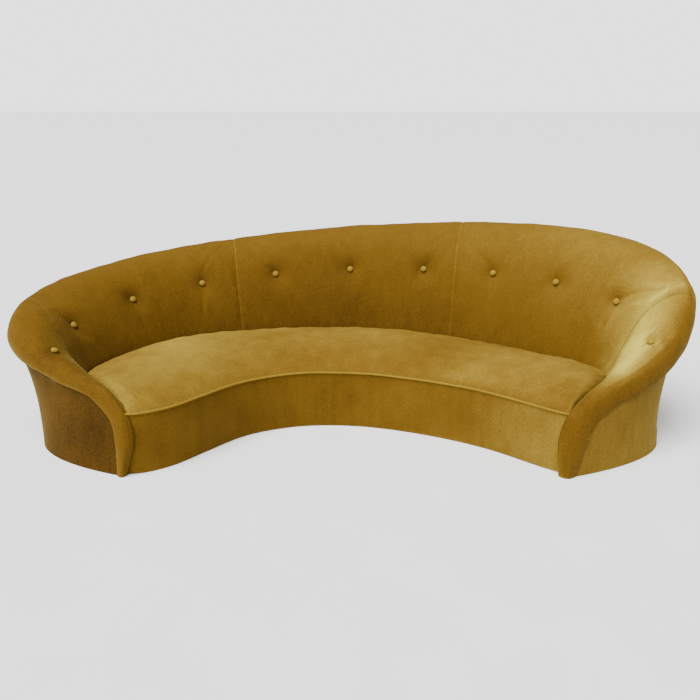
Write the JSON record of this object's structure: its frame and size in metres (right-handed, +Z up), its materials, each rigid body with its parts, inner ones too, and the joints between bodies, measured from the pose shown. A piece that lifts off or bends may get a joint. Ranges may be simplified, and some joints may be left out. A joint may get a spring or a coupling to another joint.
{
  "type": "curved sofa",
  "caption": "Curved upholstered sofa: tight kidney-shaped seat inside a rolled back that rises to one side, buttoned, piped, covered to the floor in velvet.",
  "frame": {"origin": "on the floor at the middle of the footprint", "axes": "+Z up, +X to the sitter's left end seen from the front (the high end), +Y from the open front to the back"},
  "size_m": [3.1363, 1.5193, 0.8928],
  "materials": {
    "velvet": "matte",
    "piping_velvet": "matte",
    "button_velvet": "matte",
    "padding": "matte",
    "hessian": "matte",
    "jute": "matte",
    "twine": "matte",
    "felt": "matte",
    "dust_cloth": "matte",
    "steel": "satin",
    "clip_steel": "satin",
    "glide_plastic": "satin",
    "toggle_plastic": "satin",
    "plywood": "matte",
    "beech": "satin"
  },
  "bodies": {
    "root": {"apron_cover": "velvet", "apron_lining": "hessian", "apron_pad": "padding", "back_hessian": "hessian", "back_ledge": "plywood", "back_outside_cover": "velvet", "back_rib_1": "plywood", "back_rib_10": "plywood", "back_rib_2": "plywood", "back_rib_3": "plywood", "back_rib_4": "plywood", "back_rib_5": "plywood", "back_rib_6": "plywood", "back_rib_7": "plywood", "back_rib_8": "plywood", "back_rib_9": "plywood", "back_straps": "jute", "base_ring": "plywood", "base_screws": "steel", "button_ties": "twine", "button_toggles": "toggle_plastic", "buttons": "button_velvet", "centre_inside_cover": "velvet", "centre_pad": "padding", "cross_rail_1": "beech", "cross_rail_2": "beech", "cross_rail_3": "beech", "cross_rail_4": "beech", "cross_rail_5": "beech", "deck_cloth": "hessian", "dust_cover": "dust_cloth", "front_posts": "beech", "front_rail": "beech", "glides": "glide_plastic", "glue_blocks": "beech", "left_arm_board": "plywood", "left_arm_inside_cover": "velvet", "left_arm_outside_cover": "velvet", "left_arm_pad": "padding", "left_arm_rail": "beech", "left_back_inside_cover": "velvet", "left_back_pad": "padding", "outside_lining": "felt", "rear_rail": "beech", "right_arm_board": "plywood", "right_arm_inside_cover": "velvet", "right_arm_outside_cover": "velvet", "right_arm_pad": "padding", "right_arm_rail": "beech", "right_back_inside_cover": "velvet", "right_back_pad": "padding", "seat_cover": "velvet", "seat_pad": "padding", "seat_piping": "piping_velvet", "spring_clips": "clip_steel", "top_rail": "beech", "zigzag_springs": "steel"}
  },
  "joints": []
}
